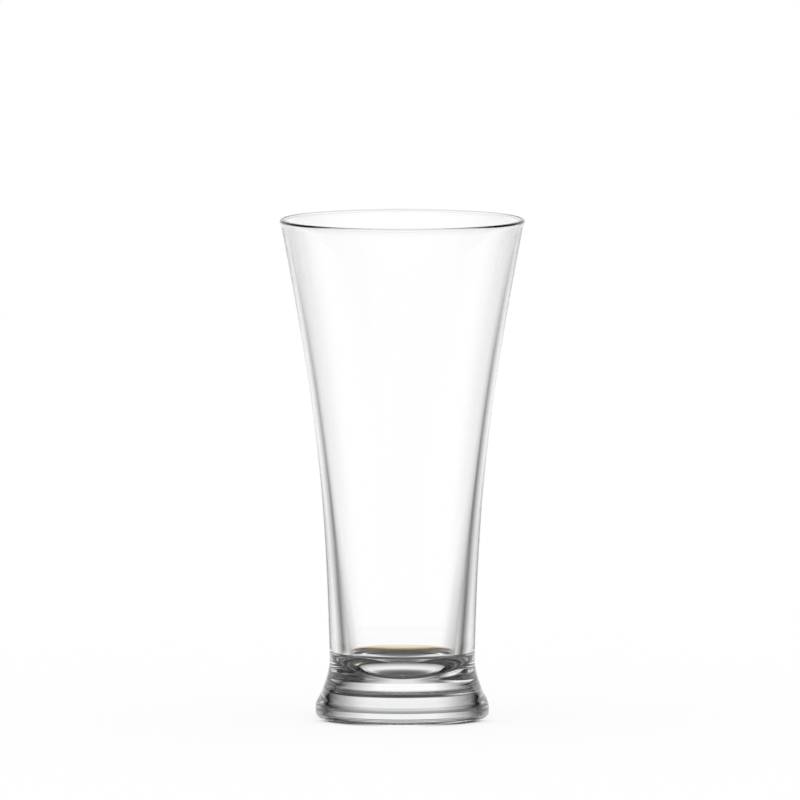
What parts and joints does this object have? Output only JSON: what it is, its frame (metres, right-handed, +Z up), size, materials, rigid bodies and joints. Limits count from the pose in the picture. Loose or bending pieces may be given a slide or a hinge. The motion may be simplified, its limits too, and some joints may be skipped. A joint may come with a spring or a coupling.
{
  "type": "pilsner glass",
  "caption": "Clear pilsner beer glass: trumpet-flared bowl with a rounded lip and a thick round bottom, welded to a heavy flared foot with a hollowed underside.",
  "frame": {"origin": "on the table under the glass's axis, in the plane of the standing ring", "axes": "+Z up along the axis of revolution, from the foot to the lip; X and Y are alike"},
  "size_m": [0.0784, 0.0784, 0.16],
  "materials": {
    "clear_glass": "clear soda-lime glass, fire-polished"
  },
  "bodies": {
    "root": {"bowl": "clear_glass", "foot": "clear_glass"}
  },
  "joints": []
}
